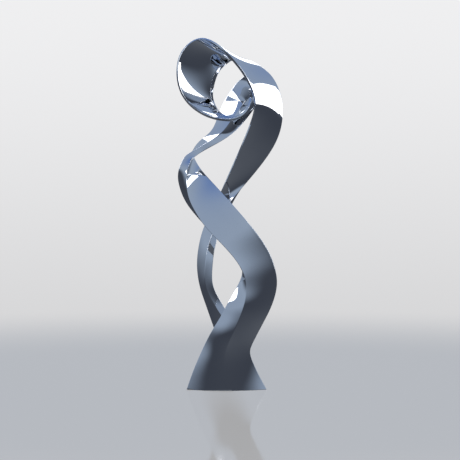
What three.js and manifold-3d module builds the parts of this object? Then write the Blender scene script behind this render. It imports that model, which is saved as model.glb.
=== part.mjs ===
// An abstract sculpture: one twisted, mirror-polished steel band on its own flared foot.
// Millimetres, +Z up, +Y to the back. The origin is on the ground under the middle of the work.
import * as THREE from "three";
import { mergeVertices } from "three/addons/utils/BufferGeometryUtils.js";
import Module from "manifold-3d";

const PLATE = 14; // thickness of the band at its thin edge
const STEPS = 4; // sections made between two rows of the course
const FOLD_SIDES = 4; // facets from the spine to the fold
const FACE_SIDES = 6; // facets from the fold to the rim
const BACK_SIDES = 3; // facets on the back face
const HEEL_ROWS = 41; // the course is lofted in two lengths that meet at this row
const GROUND_BOX = 4000; // side of the block that keeps what is above the ground

// The course of the band, from the front foot up, round the loop and down to the back foot.
// Each row holds two edges of the broad front face, the rim and the fold, the spine's place from the
// fold (along the face, behind it), how far the fold is softened, from 0, crisp, to 1, round, and how
// far the middle of the face is hollowed towards the back.
const COURSE = [
  [[250, 55, -70], [-50, -90, -70], [-140, 235], [1.0, 0]],
  [[180, 40, 55], [-45, -90, 55], [-95, 210], [1.0, 0]],
  [[130, 15, 165], [-35, -95, 165], [-55, 180], [1.0, 0]],
  [[115, -5, 225], [-25, -100, 235], [-35, 155], [0.9, 0]],
  [[140, -15, 290], [0, -105, 305], [-45, 125], [0.7, 0]],
  [[195, -45, 400], [45, -105, 405], [-65, 95], [0.4, 0]],
  [[235, -60, 485], [75, -105, 490], [-75, 75], [0.15, 0]],
  [[265, -75, 595], [90, -95, 585], [-55, 50], [0, 2]],
  [[255, -85, 695], [75, -95, 670], [0, 45], [0, 3]],
  [[210, -85, 810], [25, -90, 755], [25, 45], [0, 3]],
  [[125, -80, 930], [-60, -85, 850], [25, 45], [0, 3]],
  [[35, -55, 1035], [-140, -75, 935], [10, 45], [0, 3]],
  [[-45, -20, 1125], [-190, -65, 1010], [0, 50], [0, 2]],
  [[-110, 25, 1195], [-230, -60, 1090], [0, 65], [0, 0]],
  [[-155, 45, 1245], [-245, -55, 1180], [0, 70], [0, 0]],
  [[-180, 75, 1280], [-240, -50, 1245], [-5, 65], [0, 0]],
  [[-200, 115, 1315], [-225, -35, 1295], [-5, 55], [0, 0]],
  [[-205, 165, 1345], [-200, 0, 1325], [0, 35], [0, 0]],
  [[-175, 175, 1400], [-140, 30, 1365], [5, 30], [0, 0]],
  [[-115, 190, 1450], [-40, 65, 1420], [15, 35], [0, 0]],
  [[-80, 195, 1505], [40, 95, 1480], [45, 40], [0, 0]],
  [[-50, 200, 1600], [125, 135, 1580], [70, 35], [0, 0]],
  [[15, 205, 1715], [170, 160, 1650], [55, 23], [0, 0]],
  [[80, 200, 1785], [215, 155, 1710], [25, 14], [0, -6]],
  [[130, 140, 1810], [240, 90, 1720], [0, 14], [0, -6]],
  [[125, 50, 1765], [230, 45, 1685], [0, 14], [0, -6]],
  [[125, -35, 1670], [180, 90, 1645], [10, 14], [0, -7]],
  [[95, -75, 1580], [115, 120, 1595], [25, 14], [0, -7]],
  [[15, -85, 1530], [25, 115, 1540], [30, 14], [0, -8]],
  [[-80, -90, 1535], [-40, 90, 1565], [30, 14], [0, -8]],
  [[-170, -95, 1570], [-75, 70, 1610], [30, 14], [0, -8]],
  [[-255, -105, 1645], [-95, 50, 1665], [30, 14], [0, -8]],
  [[-295, -110, 1745], [-90, 40, 1720], [30, 14], [0, -8]],
  [[-295, -110, 1855], [-75, 40, 1775], [30, 14], [0, -8]],
  [[-255, -105, 1940], [-55, 50, 1815], [30, 14], [0, -8]],
  [[-170, -95, 1995], [-20, 80, 1850], [25, 14], [0, -8]],
  [[-75, -90, 1965], [25, 105, 1880], [15, 14], [0, -7]],
  [[20, -85, 1875], [85, 105, 1885], [10, 14], [0, -6]],
  [[85, -80, 1790], [160, 90, 1850], [5, 14], [0, -5]],
  [[130, -75, 1695], [240, 80, 1785], [0, 14], [0, -4]],
  [[145, -65, 1605], [290, 70, 1675], [0, 14], [0, -4]],
  [[115, -35, 1500], [300, 70, 1550], [0, 17], [0, -4]],
  [[65, 0, 1380], [270, 75, 1425], [0, 23], [0, -4]],
  [[5, 45, 1245], [190, 85, 1295], [0, 23], [0, -3]],
  [[-50, 90, 1130], [75, 85, 1155], [0, 23], [0, -1]],
  [[-110, 135, 1015], [-25, 65, 1035], [0, 30], [0, 0]],
  [[-155, 160, 910], [-95, 40, 900], [0, 40], [0, 0]],
  [[-180, 170, 810], [-130, 10, 795], [0, 45], [0, 0]],
  [[-190, 170, 705], [-140, 0, 705], [0, 45], [0, 0]],
  [[-175, 165, 585], [-140, 0, 590], [0, 45], [0, 0]],
  [[-135, 160, 465], [-85, 15, 480], [0, 45], [0, 0]],
  [[-90, 150, 335], [0, 40, 350], [0, 40], [0, 0]],
  [[-35, 130, 195], [75, 50, 205], [0, 35], [0, 0]],
  [[15, 120, 55], [140, 75, 55], [0, 35], [0, 0]],
  [[55, 115, -70], [205, 90, -70], [0, 35], [0, 0]],
];

const point = (xyz) => new THREE.Vector3(...xyz);
const rimLine = new THREE.CatmullRomCurve3(COURSE.map(([rim]) => point(rim)));
const foldLine = new THREE.CatmullRomCurve3(COURSE.map(([, fold]) => point(fold)));
const evenLine = (points) => new THREE.CatmullRomCurve3(points, false, "catmullrom", 0.5);
const spineLine = evenLine(
  COURSE.map(([, , [along, behind]]) => new THREE.Vector3(along, behind, 0)),
);
const shapeLine = evenLine(COURSE.map(([, , , [soft, hollow]]) => new THREE.Vector3(soft, hollow, 0)));

// The direction in which the band runs at a place on the course, from 0 to 1.
function heading(t) {
  const span = 0.5 / (COURSE.length - 1);
  const middle = (u) => {
    const at = THREE.MathUtils.clamp(u, 0, 1);
    return rimLine.getPoint(at).add(foldLine.getPoint(at)).multiplyScalar(0.5);
  };
  return middle(t + span).sub(middle(t - span)).normalize();
}

// The closed outline of the band at a place on the course: spine, fold, rim and the rim's back edge.
function section(t) {
  const rim = rimLine.getPoint(t);
  const fold = foldLine.getPoint(t);
  const { x: along, y: behind } = spineLine.getPoint(t);
  const { x: soft, y: hollow } = shapeLine.getPoint(t);
  const across = rim.clone().sub(fold).normalize();
  const back = heading(t).cross(across).normalize();
  const spine = fold.clone().addScaledVector(across, along).addScaledVector(back, behind);
  const heel = rim.clone().addScaledVector(back, PLATE);
  const sunk = (p, s) => p.addScaledVector(back, 4 * hollow * s * (1 - s));
  const whole = FOLD_SIDES + FACE_SIDES;
  const outline = [];
  for (let i = 0; i <= whole; i++) {
    const onFace = i > FOLD_SIDES;
    const onto = (i - FOLD_SIDES) / FACE_SIDES;
    const crisp = onFace
      ? sunk(fold.clone().lerp(rim, onto), onto)
      : spine.clone().lerp(fold, i / FOLD_SIDES);
    const s = onFace ? 0.5 + 0.5 * onto : (0.5 * i) / FOLD_SIDES;
    const round = new THREE.QuadraticBezierCurve3(spine, fold, rim).getPoint(s);
    outline.push(crisp.lerp(round, soft));
  }
  for (let i = 0; i < BACK_SIDES; i++) {
    outline.push(sunk(heel.clone().lerp(spine, i / BACK_SIDES), i / BACK_SIDES));
  }
  return outline;
}

// A closed mesh through the sections between two rows of the course, with a fan over each end.
function loft(firstRow, lastRow) {
  const rings = [];
  for (let i = firstRow * STEPS; i <= lastRow * STEPS; i++) {
    rings.push(section(i / (STEPS * (COURSE.length - 1))));
  }
  const around = rings[0].length;
  const corners = rings.flat();
  const faces = [];
  for (let ring = 0; ring + 1 < rings.length; ring++) {
    for (let k = 0; k < around; k++) {
      const next = (k + 1) % around;
      const [a, b] = [ring * around + k, ring * around + next];
      faces.push(a, b, b + around, a, b + around, a + around);
    }
  }
  const centre = (ring) =>
    ring.reduce((sum, p) => sum.add(p), new THREE.Vector3()).divideScalar(around);
  const last = (rings.length - 1) * around;
  corners.push(centre(rings[0]), centre(rings.at(-1)));
  for (let k = 0; k < around; k++) {
    const next = (k + 1) % around;
    faces.push(corners.length - 2, next, k, corners.length - 1, last + k, last + next);
  }
  const geometry = new THREE.BufferGeometry().setFromPoints(corners);
  geometry.setIndex(faces);
  return geometry;
}

const wasm = await Module();
wasm.setup();

function solidOf(geometry) {
  const bare = geometry.clone();
  bare.deleteAttribute("normal");
  bare.deleteAttribute("uv");
  const merged = mergeVertices(bare, 1e-3);
  return new wasm.Manifold(
    new wasm.Mesh({
      numProp: 3,
      vertProperties: merged.attributes.position.array,
      triVerts: new Uint32Array(merged.index.array),
    }),
  );
}

function geometryOf(solid) {
  const mesh = solid.getMesh();
  const geometry = new THREE.BufferGeometry();
  geometry.setAttribute("position", new THREE.BufferAttribute(mesh.vertProperties, 3));
  geometry.setIndex(new THREE.BufferAttribute(mesh.triVerts, 1));
  geometry.computeVertexNormals();
  return geometry;
}

// The two lengths of the band are joined, cut off flat at the ground and centred over the origin.
function ribbonGeometry() {
  const aboveGround = solidOf(
    new THREE.BoxGeometry(GROUND_BOX, GROUND_BOX, GROUND_BOX).translate(0, 0, GROUND_BOX / 2),
  );
  const rising = solidOf(loft(0, HEEL_ROWS));
  const falling = solidOf(loft(HEEL_ROWS, COURSE.length - 1));
  const band = rising.add(falling).intersect(aboveGround);
  const { min, max } = band.boundingBox();
  return geometryOf(band.translate([-(min[0] + max[0]) / 2, -(min[1] + max[1]) / 2, 0]));
}

const polishedSteel = new THREE.MeshStandardMaterial({
  color: 0x9aa6b8,
  roughness: 0.05,
  metalness: 1,
});
const ribbon = new THREE.Mesh(ribbonGeometry(), polishedSteel);
ribbon.name = "ribbon";

const sculpture = new THREE.Group();
sculpture.add(ribbon);

export default sculpture;
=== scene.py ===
"""Looks of the abstract metal sculpture: one twisted, mirror-polished steel band on its own flared foot."""

import math

import bpy
import bmesh
import numpy as np
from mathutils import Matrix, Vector

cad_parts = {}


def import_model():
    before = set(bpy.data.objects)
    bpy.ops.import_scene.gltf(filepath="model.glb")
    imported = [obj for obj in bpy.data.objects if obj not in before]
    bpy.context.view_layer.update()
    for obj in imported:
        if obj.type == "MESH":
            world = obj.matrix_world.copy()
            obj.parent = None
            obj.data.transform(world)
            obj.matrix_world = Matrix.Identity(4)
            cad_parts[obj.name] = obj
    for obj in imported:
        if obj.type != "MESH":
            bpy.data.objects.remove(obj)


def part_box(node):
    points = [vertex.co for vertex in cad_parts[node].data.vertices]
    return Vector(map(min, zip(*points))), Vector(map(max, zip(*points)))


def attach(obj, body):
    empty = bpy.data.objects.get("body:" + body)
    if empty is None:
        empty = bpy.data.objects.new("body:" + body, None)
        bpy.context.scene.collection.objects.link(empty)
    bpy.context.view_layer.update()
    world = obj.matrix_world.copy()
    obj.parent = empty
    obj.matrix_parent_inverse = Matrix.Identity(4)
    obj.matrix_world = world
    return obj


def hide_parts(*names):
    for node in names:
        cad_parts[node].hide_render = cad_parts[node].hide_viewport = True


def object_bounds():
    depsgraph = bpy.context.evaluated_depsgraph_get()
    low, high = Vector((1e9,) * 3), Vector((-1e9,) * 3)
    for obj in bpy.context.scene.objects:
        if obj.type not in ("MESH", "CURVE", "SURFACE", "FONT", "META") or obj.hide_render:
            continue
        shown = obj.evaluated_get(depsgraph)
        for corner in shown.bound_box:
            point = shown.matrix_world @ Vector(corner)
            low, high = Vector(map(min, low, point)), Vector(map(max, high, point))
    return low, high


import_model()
CAD_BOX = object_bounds()

MM = 0.001
PLATE = 14 * MM  # thickness of the band at its thin edge
STEPS = 14  # sections made between two rows of the course
FILLET = 2.2 * MM  # how far the polished edges are rounded
FILLET_SIDES = 3
SUPPORT = 2.5  # distance of the first point past a fillet, in fillets
SPINE_SIDES = 4  # facets from the spine to the fold
FACE_SIDES = 12  # facets from the fold to the rim, and on the back face
SMOOTHING = 0.45  # width of the smoothing along the course, in rows

# The course of the band in millimetres, from the front foot up, round the loop and down to the back
# foot, as the solid has it. Each row holds two edges of the broad front face, the rim and the fold,
# the spine's place from the fold (along the face, behind it), how far the fold is softened, and how
# far the middle of the face is hollowed towards the back.
COURSE = [
    ((250, 55, -70), (-50, -90, -70), (-140, 235), (1.0, 0)),
    ((180, 40, 55), (-45, -90, 55), (-95, 210), (1.0, 0)),
    ((130, 15, 165), (-35, -95, 165), (-55, 180), (1.0, 0)),
    ((115, -5, 225), (-25, -100, 235), (-35, 155), (0.9, 0)),
    ((140, -15, 290), (0, -105, 305), (-45, 125), (0.7, 0)),
    ((195, -45, 400), (45, -105, 405), (-65, 95), (0.4, 0)),
    ((235, -60, 485), (75, -105, 490), (-75, 75), (0.15, 0)),
    ((265, -75, 595), (90, -95, 585), (-55, 50), (0, 2)),
    ((255, -85, 695), (75, -95, 670), (0, 45), (0, 3)),
    ((210, -85, 810), (25, -90, 755), (25, 45), (0, 3)),
    ((125, -80, 930), (-60, -85, 850), (25, 45), (0, 3)),
    ((35, -55, 1035), (-140, -75, 935), (10, 45), (0, 3)),
    ((-45, -20, 1125), (-190, -65, 1010), (0, 50), (0, 2)),
    ((-110, 25, 1195), (-230, -60, 1090), (0, 65), (0, 0)),
    ((-155, 45, 1245), (-245, -55, 1180), (0, 70), (0, 0)),
    ((-180, 75, 1280), (-240, -50, 1245), (-5, 65), (0, 0)),
    ((-200, 115, 1315), (-225, -35, 1295), (-5, 55), (0, 0)),
    ((-205, 165, 1345), (-200, 0, 1325), (0, 35), (0, 0)),
    ((-175, 175, 1400), (-140, 30, 1365), (5, 30), (0, 0)),
    ((-115, 190, 1450), (-40, 65, 1420), (15, 35), (0, 0)),
    ((-80, 195, 1505), (40, 95, 1480), (45, 40), (0, 0)),
    ((-50, 200, 1600), (125, 135, 1580), (70, 35), (0, 0)),
    ((15, 205, 1715), (170, 160, 1650), (55, 23), (0, 0)),
    ((80, 200, 1785), (215, 155, 1710), (25, 14), (0, -6)),
    ((130, 140, 1810), (240, 90, 1720), (0, 14), (0, -6)),
    ((125, 50, 1765), (230, 45, 1685), (0, 14), (0, -6)),
    ((125, -35, 1670), (180, 90, 1645), (10, 14), (0, -7)),
    ((95, -75, 1580), (115, 120, 1595), (25, 14), (0, -7)),
    ((15, -85, 1530), (25, 115, 1540), (30, 14), (0, -8)),
    ((-80, -90, 1535), (-40, 90, 1565), (30, 14), (0, -8)),
    ((-170, -95, 1570), (-75, 70, 1610), (30, 14), (0, -8)),
    ((-255, -105, 1645), (-95, 50, 1665), (30, 14), (0, -8)),
    ((-295, -110, 1745), (-90, 40, 1720), (30, 14), (0, -8)),
    ((-295, -110, 1855), (-75, 40, 1775), (30, 14), (0, -8)),
    ((-255, -105, 1940), (-55, 50, 1815), (30, 14), (0, -8)),
    ((-170, -95, 1995), (-20, 80, 1850), (25, 14), (0, -8)),
    ((-75, -90, 1965), (25, 105, 1880), (15, 14), (0, -7)),
    ((20, -85, 1875), (85, 105, 1885), (10, 14), (0, -6)),
    ((85, -80, 1790), (160, 90, 1850), (5, 14), (0, -5)),
    ((130, -75, 1695), (240, 80, 1785), (0, 14), (0, -4)),
    ((145, -65, 1605), (290, 70, 1675), (0, 14), (0, -4)),
    ((115, -35, 1500), (300, 70, 1550), (0, 17), (0, -4)),
    ((65, 0, 1380), (270, 75, 1425), (0, 23), (0, -4)),
    ((5, 45, 1245), (190, 85, 1295), (0, 23), (0, -3)),
    ((-50, 90, 1130), (75, 85, 1155), (0, 23), (0, -1)),
    ((-110, 135, 1015), (-25, 65, 1035), (0, 30), (0, 0)),
    ((-155, 160, 910), (-95, 40, 900), (0, 40), (0, 0)),
    ((-180, 170, 810), (-130, 10, 795), (0, 45), (0, 0)),
    ((-190, 170, 705), (-140, 0, 705), (0, 45), (0, 0)),
    ((-175, 165, 585), (-140, 0, 590), (0, 45), (0, 0)),
    ((-135, 160, 465), (-85, 15, 480), (0, 45), (0, 0)),
    ((-90, 150, 335), (0, 40, 350), (0, 40), (0, 0)),
    ((-35, 130, 195), (75, 50, 205), (0, 35), (0, 0)),
    ((15, 120, 55), (140, 75, 55), (0, 35), (0, 0)),
    ((55, 115, -70), (205, 90, -70), (0, 35), (0, 0)),
]


def hermite(a, b, start, end, w):
    """The cubic from a to b with the given end slopes."""
    w = w[:, None]
    return (
        a
        + start * w
        + (3 * (b - a) - 2 * start - end) * w**2
        + (2 * (a - b) + start + end) * w**3
    )


def spline(points, steps, centripetal=True):
    """Points on a Catmull-Rom curve, with the same number of steps between each two rows."""
    p = np.asarray(points, float)
    p = np.vstack([2 * p[0] - p[1], p, 2 * p[-1] - p[-2]])
    w = np.arange(steps) / steps
    runs = []
    for p0, p1, p2, p3 in zip(p, p[1:], p[2:], p[3:]):
        if centripetal:
            d0, d1, d2 = (math.sqrt(np.linalg.norm(b - a)) for a, b in ((p0, p1), (p1, p2), (p2, p3)))
            start = ((p1 - p0) / d0 - (p2 - p0) / (d0 + d1) + (p2 - p1) / d1) * d1
            end = ((p2 - p1) / d1 - (p3 - p1) / (d1 + d2) + (p3 - p2) / d2) * d1
        else:
            start, end = (p2 - p0) / 2, (p3 - p1) / 2
        runs.append(hermite(p1, p2, start, end, w))
    return np.vstack(runs + [p[-2][None]])


def blurred(line, width):
    """A line of points smoothed along its length, with straight run-outs past its ends."""
    reach = int(3 * width)
    kernel = np.exp(-0.5 * (np.arange(-reach, reach + 1) / width) ** 2)
    kernel /= kernel.sum()
    steps = np.arange(reach, 0, -1)[:, None]
    before = line[0] - steps * (line[1] - line[0])
    after = line[-1] + steps[::-1] * (line[-1] - line[-2])
    padded = np.vstack([before, line, after])
    return np.stack([np.convolve(column, kernel, "valid") for column in padded.T], axis=1)


def faired(line):
    """The same line without the small kinks at the rows, so that reflections run smoothly over it."""
    width = SMOOTHING * STEPS
    once = blurred(line, width)
    return once + blurred(line - once, width)


def unit(v):
    return v / np.linalg.norm(v, axis=-1, keepdims=True)


def corner_lines():
    """The four lines that the corners of the band follow, the softness of the fold and the hollow."""
    rim = spline([row[0] for row in COURSE], STEPS) * MM
    fold = spline([row[1] for row in COURSE], STEPS) * MM
    profile = spline([[*row[2], *row[3]] for row in COURSE], STEPS, centripetal=False)
    rim, fold = faired(rim), faired(fold)
    profile = blurred(profile, SMOOTHING * STEPS)
    along, behind, hollow = (profile[:, i : i + 1] * MM for i in (0, 1, 3))
    soft = np.clip(profile[:, 2:3], 0, 1)
    middle = (rim + fold) / 2
    heading = unit(np.gradient(middle, axis=0))
    across = unit(rim - fold)
    back = unit(np.cross(heading, across))
    spine = fold + across * along + back * behind
    heel = rim + back * PLATE
    return spine, fold, rim, heel, soft, back * hollow


def stops(cut, sides):
    """Places from 0 to 1 along a straight between two fillets, with a close one past each fillet."""
    lo, hi = SUPPORT * cut, 1 - SUPPORT * cut
    return [lo + (hi - lo) * i / sides for i in range(sides + 1)]


def run(a, b, cut, sides, hollow=0):
    """Points from a to b, between two fillets."""
    length = np.linalg.norm(b - a, axis=1, keepdims=True)
    return [a + (b - a) * w + 4 * w * (1 - w) * hollow for w in stops(cut / length, sides)]


def fillet(before, corner, after, cut):
    """Points on the small round that takes the sharpness off a corner."""
    start = corner + unit(before - corner) * cut
    end = corner + unit(after - corner) * cut
    rounds = []
    for i in range(FILLET_SIDES + 1):
        w = i / FILLET_SIDES
        rounds.append((1 - w) ** 2 * start + 2 * w * (1 - w) * corner + w**2 * end)
    return rounds


def outline(spine, fold, rim, heel, soft, hollow):
    """The outline of every section: an array of sections by points round the band."""
    narrow = np.linalg.norm(spine - fold, axis=1, keepdims=True)
    cut = np.minimum(FILLET, narrow / (2.5 * SUPPORT))
    wide = np.linalg.norm(rim - fold, axis=1, keepdims=True)
    front = run(spine, fold, cut, SPINE_SIDES) + fillet(spine, fold, rim, cut)
    front += run(fold, rim, cut, FACE_SIDES, hollow)
    places = [0.5 * s for s in stops(cut / narrow, SPINE_SIDES)]
    rounding = np.linspace(-1, 1, FILLET_SIDES + 1)
    places += [0.5 + 0.5 * r * cut / (narrow if r < 0 else wide) for r in rounding]
    places += [0.5 + 0.5 * s for s in stops(cut / wide, FACE_SIDES)]
    softened = []
    for p, s in zip(front, places):
        bow = (1 - s) ** 2 * spine + 2 * s * (1 - s) * fold + s**2 * rim
        softened.append(p + (bow - p) * soft)
    points = fillet(heel, spine, fold, cut) + softened + fillet(fold, rim, heel, cut)
    points += fillet(rim, heel, spine, cut) + run(heel, spine, cut, FACE_SIDES, hollow)
    return np.stack(points, axis=1)


def band_object():
    """The whole band as one closed mesh, cut off flat at the ground."""
    rings = outline(*corner_lines())
    sections, around, _ = rings.shape
    faces = [
        (s * around + k, s * around + (k + 1) % around,
         (s + 1) * around + (k + 1) % around, (s + 1) * around + k)
        for s in range(sections - 1)
        for k in range(around)
    ]
    faces.append(tuple(range(around))[::-1])
    faces.append(tuple((sections - 1) * around + k for k in range(around)))
    mesh = bpy.data.meshes.new("ribbon")
    mesh.from_pydata(rings.reshape(-1, 3).tolist(), [], faces)
    bm = bmesh.new()
    bm.from_mesh(mesh)
    everything = bm.verts[:] + bm.edges[:] + bm.faces[:]
    cut = bmesh.ops.bisect_plane(
        bm, geom=everything, plane_co=(0, 0, 0), plane_no=(0, 0, -1), clear_outer=True
    )
    rims = [e for e in cut["geom_cut"] if isinstance(e, bmesh.types.BMEdge)]
    bmesh.ops.edgeloop_fill(bm, edges=rims)
    bmesh.ops.recalc_face_normals(bm, faces=bm.faces[:])
    lowest = Vector([min(v.co[i] for v in bm.verts) for i in range(3)])
    highest = Vector([max(v.co[i] for v in bm.verts) for i in range(3)])
    node_low, node_high = (Vector(corner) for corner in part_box("ribbon"))
    shift = (node_low + node_high - lowest - highest) / 2
    bmesh.ops.translate(bm, verts=bm.verts[:], vec=(shift.x, shift.y, 0))
    for face in bm.faces:
        face.smooth = True
    bm.to_mesh(mesh)
    bm.free()
    band = bpy.data.objects.new("ribbon_polished", mesh)
    bpy.context.collection.objects.link(band)
    return band


# ---------------------------------------------------------------------------------------------
# Node helpers

def colour(red, green, blue):
    """A colour given as it looks on a screen, 0 to 1, as the linear colour that Blender wants."""
    parts = (c / 12.92 if c <= 0.04045 else ((c + 0.055) / 1.055) ** 2.4 for c in (red, green, blue))
    return (*parts, 1)


class Nodes:
    """A node tree with short ways to add and join nodes. Sockets and plain numbers mix freely."""

    def __init__(self, tree):
        self.tree = tree

    def add(self, kind, inputs=(), **settings):
        node = self.tree.nodes.new(kind)
        for name, value in settings.items():
            setattr(node, name, value)
        for key, value in dict(inputs).items():
            if isinstance(value, bpy.types.NodeSocket):
                self.tree.links.new(value, node.inputs[key])
            else:
                node.inputs[key].default_value = value
        return node

    def math(self, operation, *values):
        return self.add("ShaderNodeMath", enumerate(values), operation=operation).outputs[0]

    def ramp(self, value, low, high, start=0.0, end=1.0):
        """value's way from low to high, eased at both ends, as a number from start to end."""
        node = self.add(
            "ShaderNodeMapRange",
            {"Value": value, "From Min": low, "From Max": high, "To Min": start, "To Max": end},
            interpolation_type="SMOOTHSTEP",
        )
        return node.outputs["Result"]

    def mix(self, factor, a, b):
        node = self.add("ShaderNodeMix", data_type="RGBA")
        for key, value in ((0, factor), (6, a), (7, b)):
            if isinstance(value, bpy.types.NodeSocket):
                self.tree.links.new(value, node.inputs[key])
            else:
                node.inputs[key].default_value = value
        return node.outputs[2]


# ---------------------------------------------------------------------------------------------
# Materials

def new_material(name):
    material = bpy.data.materials.new(name)
    material.use_nodes = True
    return material, Nodes(material.node_tree), material.node_tree.nodes["Principled BSDF"]


STEEL_DARK, STEEL_LIGHT = (0.82, 0.83, 0.855, 1), (0.89, 0.895, 0.905, 1)  # linear
MIRROR, HAZY = 0.015, 0.055  # roughness of the clearest and the haziest areas
WIPE = 0.035  # roughness that a wipe mark adds
WIPE_STRETCH = (1.6, 1.6, 0.35)  # the marks run up the band
FINE_WAVE = 0.12  # height of the fine waviness, as a share of the broad one
WAVE_DEPTH = 1.5 * MM
WAVE_STRENGTH = 0.25


def polished_steel():
    """Mirror-polished stainless steel, with soft hazy areas, fine wipe marks and a slight waviness."""
    material, nodes, shader = new_material("mirror_steel")
    shader.inputs["Metallic"].default_value = 1
    place = nodes.add("ShaderNodeTexCoord").outputs["Object"]

    def noise(scale, detail, stretch=(1, 1, 1)):
        spread = nodes.add("ShaderNodeMapping", {"Vector": place, "Scale": stretch}).outputs[0]
        inputs = {"Vector": spread, "Scale": scale, "Detail": detail}
        return nodes.add("ShaderNodeTexNoise", inputs).outputs["Fac"]

    haze = nodes.ramp(noise(5, 4), 0.35, 0.75, MIRROR, HAZY)
    wipes = nodes.ramp(noise(30, 3, WIPE_STRETCH), 0.5, 0.8, 0.0, WIPE)
    roughness = nodes.math("ADD", haze, wipes)
    nodes.tree.links.new(roughness, shader.inputs["Roughness"])
    tone = nodes.ramp(noise(3, 3), 0.3, 0.7)
    shade = nodes.mix(tone, STEEL_DARK, STEEL_LIGHT)
    nodes.tree.links.new(shade, shader.inputs["Base Color"])
    wave = nodes.math("MULTIPLY_ADD", noise(34, 2), FINE_WAVE, noise(7, 1))
    depth = {"Height": wave, "Strength": WAVE_STRENGTH, "Distance": WAVE_DEPTH}
    bump = nodes.add("ShaderNodeBump", depth)
    nodes.tree.links.new(bump.outputs["Normal"], shader.inputs["Normal"])
    return material


# ---------------------------------------------------------------------------------------------
# Studio. Plain soft light: surroundings that change with height alone, cool above and darker below,
# and a few large neutral softboxes. The camera itself sees a plain pale backdrop.

# height in degrees, colour as it looks on a screen
SURROUNDINGS = (
    (-90, (0.40, 0.42, 0.45)),
    (-10, (0.24, 0.26, 0.30)),
    (10, (0.58, 0.64, 0.72)),
    (90, (0.34, 0.47, 0.70)),
)
BACKDROP = ((-10, (0.80, 0.80, 0.805)), (5, (0.94, 0.94, 0.945)))
FADE = (2.2, 6.0)  # the floor is gone between these distances in metres
GRAZING = (0.62, 0.92)  # the floor's gloss grows over this range of Layer Weight's Facing
GLOSS = (0.04, 0.42)  # from this share of mirror to this
BOX_DISTANCE = 3.5  # of every softbox from the middle of the work, in metres
# bearing from the camera's side (+ to its right), height in degrees, width and height in metres, watts
SOFTBOXES = (
    (-70, 35, 1.6, 2.6, 32),
    (85, 25, 1.2, 2.8, 26),
    (180, 40, 2.4, 1.2, 22),
)


def height_ramp(nodes, height, stops):
    """A colour that follows the height through the given stops."""
    shade = colour(*stops[0][1])
    for (a, _), (b, next_colour) in zip(stops, stops[1:]):
        shade = nodes.mix(nodes.ramp(height, a, b), shade, colour(*next_colour))
    return shade


def world():
    w = bpy.data.worlds.new("studio")
    bpy.context.scene.world = w
    w.use_nodes = True
    nodes = Nodes(w.node_tree)
    direction = nodes.add("ShaderNodeTexCoord").outputs["Generated"]
    up = nodes.add("ShaderNodeSeparateXYZ", {0: direction}).outputs["Z"]
    height = nodes.math("DEGREES", nodes.math("ARCSINE", up))
    around = height_ramp(nodes, height, SURROUNDINGS)
    backdrop = height_ramp(nodes, height, BACKDROP)
    seen = nodes.add("ShaderNodeLightPath").outputs["Is Camera Ray"]
    background = w.node_tree.nodes["Background"]
    nodes.tree.links.new(nodes.mix(seen, around, backdrop), background.inputs["Color"])


def softboxes():
    """Large soft rectangles of white light that face the middle of the work."""
    low, high = (Vector(corner) for corner in CAD_BOX)
    middle = (low + high) / 2
    for i, (bearing, height, width, tall, watts) in enumerate(SOFTBOXES):
        turn, rise = math.radians(bearing), math.radians(height)
        out = Vector((math.sin(turn) * math.cos(rise), -math.cos(turn) * math.cos(rise), math.sin(rise)))
        lamp = bpy.data.lights.new(f"softbox_{i}", "AREA")
        lamp.shape, lamp.size, lamp.size_y, lamp.energy = "RECTANGLE", width, tall, watts
        box = bpy.data.objects.new(lamp.name, lamp)
        box.location = middle + out * BOX_DISTANCE
        box.rotation_euler = (-out).to_track_quat("-Z", "Y").to_euler()
        box.visible_camera = False
        bpy.context.collection.objects.link(box)


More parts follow.
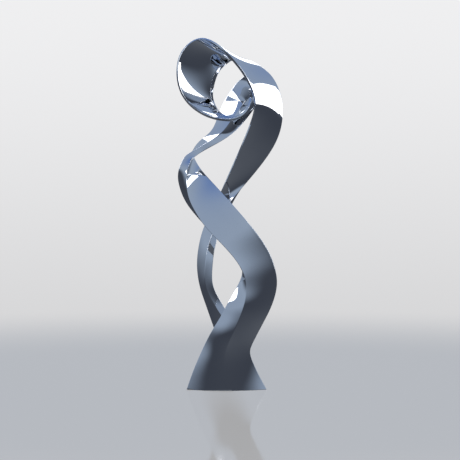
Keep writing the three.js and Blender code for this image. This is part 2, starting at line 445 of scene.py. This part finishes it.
def floor():
    """A clear gloss over the pale backdrop, that mirrors the work and ends in a soft fade."""
    size = FADE[1] + 0.5
    mesh = bpy.data.meshes.new("floor")
    mesh.from_pydata(
        [(-size, -size, 0), (size, -size, 0), (size, size, 0), (-size, size, 0)], [], [(0, 1, 2, 3)]
    )
    plane = bpy.data.objects.new("floor", mesh)
    bpy.context.collection.objects.link(plane)
    plane.visible_glossy = False
    material = bpy.data.materials.new("pale_floor")
    material.use_nodes = True
    nodes = Nodes(material.node_tree)
    nodes.tree.nodes.remove(nodes.tree.nodes["Principled BSDF"])
    place = nodes.add("ShaderNodeTexCoord").outputs["Object"]
    distance = nodes.add("ShaderNodeVectorMath", {0: place}, operation="LENGTH").outputs["Value"]
    facing = nodes.add("ShaderNodeLayerWeight").outputs["Facing"]
    near = nodes.ramp(distance, FADE[1], FADE[0])
    gloss = nodes.math("MULTIPLY", nodes.ramp(facing, *GRAZING, *GLOSS), near)
    clear = nodes.add("ShaderNodeBsdfTransparent")
    mirror = nodes.add("ShaderNodeBsdfGlossy", {"Roughness": 0.06})
    mixed = nodes.add("ShaderNodeMixShader", {0: gloss, 1: clear.outputs[0], 2: mirror.outputs[0]})
    output = nodes.tree.nodes["Material Output"]
    nodes.tree.links.new(mixed.outputs[0], output.inputs["Surface"])
    plane.data.materials.append(material)


# In heights of the work
CAMERA_DISTANCE = 6.0
EYE_LEVEL = 0.70
AIM_LEVEL = 0.4566
VIEW_HEIGHT = 1.3105
SENSOR = 36  # mm


def camera():
    """A long lens a little above the middle, straight in front of the work."""
    low, high = (Vector(c) for c in CAD_BOX)
    height = high.z - low.z
    distance, eye = CAMERA_DISTANCE * height, EYE_LEVEL * height
    aim = Vector(((low.x + high.x) / 2, 0, AIM_LEVEL * height))
    data = bpy.data.cameras.new("camera")
    data.sensor_width = SENSOR
    data.lens = SENSOR * math.hypot(distance, eye - aim.z) / (VIEW_HEIGHT * height)
    data.clip_end = 200
    cam = bpy.data.objects.new("camera", data)
    cam.location = (aim.x, -distance, eye)
    cam.rotation_euler = (aim - cam.location).to_track_quat("-Z", "Y").to_euler()
    bpy.context.collection.objects.link(cam)
    bpy.context.scene.camera = cam


bpy.context.scene.view_settings.view_transform = "Standard"
camera()
world()
softboxes()
floor()
band = band_object()
band.data.materials.append(polished_steel())
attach(band, "root")
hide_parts("ribbon")
